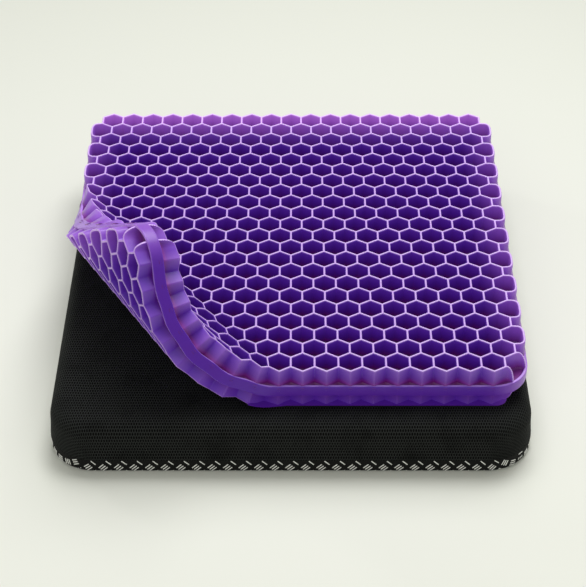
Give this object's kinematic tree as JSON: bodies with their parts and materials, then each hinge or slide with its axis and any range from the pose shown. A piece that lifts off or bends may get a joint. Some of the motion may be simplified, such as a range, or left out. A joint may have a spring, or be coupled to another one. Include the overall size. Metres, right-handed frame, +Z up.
{
  "type": "seat cushion",
  "caption": "Square gel honeycomb seat pad with one corner peeled back, lying on its zipped black knit cover with a non-slip base.",
  "frame": {"origin": "centre of the cover's flat underside, on the surface that the cushion rests on", "axes": "+Z up, +X across the seat to the sitter's left seen from the front edge's outside (the peeled corner is at -X), +Y from the front edge to the rear edge with the zip"},
  "size_m": [0.4367, 0.4509, 0.1838],
  "materials": {
    "violet_gel": "soft glossy elastomer gel",
    "black_knit": "matt spacer mesh knit",
    "grip_fabric": "matt woven fabric with raised light grey grip bars",
    "grey_foam": "open-cell foam",
    "zip_tape": "woven tape",
    "zip_coil": "nylon coil",
    "zip_metal": "black painted die casting"
  },
  "bodies": {
    "cover": {"cover_shell": "black_knit", "cover_base": "grip_fabric", "foam_core": "grey_foam", "zip_tape_upper": "zip_tape", "zip_tape_lower": "zip_tape", "zip_coil_upper": "zip_coil", "zip_coil_lower": "zip_coil", "zip_top_stop_upper": "zip_metal", "zip_top_stop_lower": "zip_metal", "zip_bottom_stop": "zip_metal"},
    "pad": {"gel_pad": "violet_gel"},
    "corner_1": {"gel_corner_1": "violet_gel"},
    "corner_2": {"gel_corner_2": "violet_gel"},
    "corner_3": {"gel_corner_3": "violet_gel"},
    "corner_4": {"gel_corner_4": "violet_gel"},
    "corner_5": {"gel_corner_5": "violet_gel"},
    "zip_slider": {"zip_slider": "zip_metal"},
    "zip_pull_tab": {"zip_pull_tab": "zip_metal"}
  },
  "joints": [
    {"name": "pad_lift", "type": "slide", "parent": "cover", "child": "pad", "axis": [0, 0, 1], "range_m": [0, 0.2]},
    {"name": "corner_curl_1", "type": "hinge", "parent": "pad", "child": "corner_1", "pos_m": [-0.11016, -0.0593, 0.0703], "axis": [0.5592, -0.829, 0], "range_deg": [0, 20]},
    {"name": "corner_curl_2", "type": "hinge", "parent": "corner_1", "child": "corner_2", "pos_m": [-0.13344, -0.06832, 0.07916], "axis": [0.5317, -0.8469, 0.0119], "range_deg": [0, 20]},
    {"name": "corner_curl_3", "type": "hinge", "parent": "corner_2", "child": "corner_3", "pos_m": [-0.15358, -0.07312, 0.09553], "axis": [0.5086, -0.8603, 0.0344], "range_deg": [0, 20]},
    {"name": "corner_curl_4", "type": "hinge", "parent": "corner_3", "child": "corner_4", "pos_m": [-0.16859, -0.07261, 0.11715], "axis": [0.4927, -0.8678, 0.0645], "range_deg": [0, 20]},
    {"name": "corner_curl_5", "type": "hinge", "parent": "corner_4", "child": "corner_5", "pos_m": [-0.17722, -0.06627, 0.14115], "axis": [0.486, -0.8684, 0.0988], "range_deg": [0, 20]},
    {"name": "zip_slide", "type": "slide", "parent": "cover", "child": "zip_slider", "axis": [-1, 0, 0], "range_m": [0, 0.318]},
    {"name": "pull_tab_turn", "type": "hinge", "parent": "zip_slider", "child": "zip_pull_tab", "pos_m": [0.1594, 0.2261, 0.024], "axis": [0, 0, -1], "range_deg": [0, 175]}
  ],
  "couplings": [
    {"joint": "corner_curl_2", "follows": "corner_curl_1", "ratio": 1},
    {"joint": "corner_curl_3", "follows": "corner_curl_1", "ratio": 1},
    {"joint": "corner_curl_4", "follows": "corner_curl_1", "ratio": 1},
    {"joint": "corner_curl_5", "follows": "corner_curl_1", "ratio": 1}
  ]
}
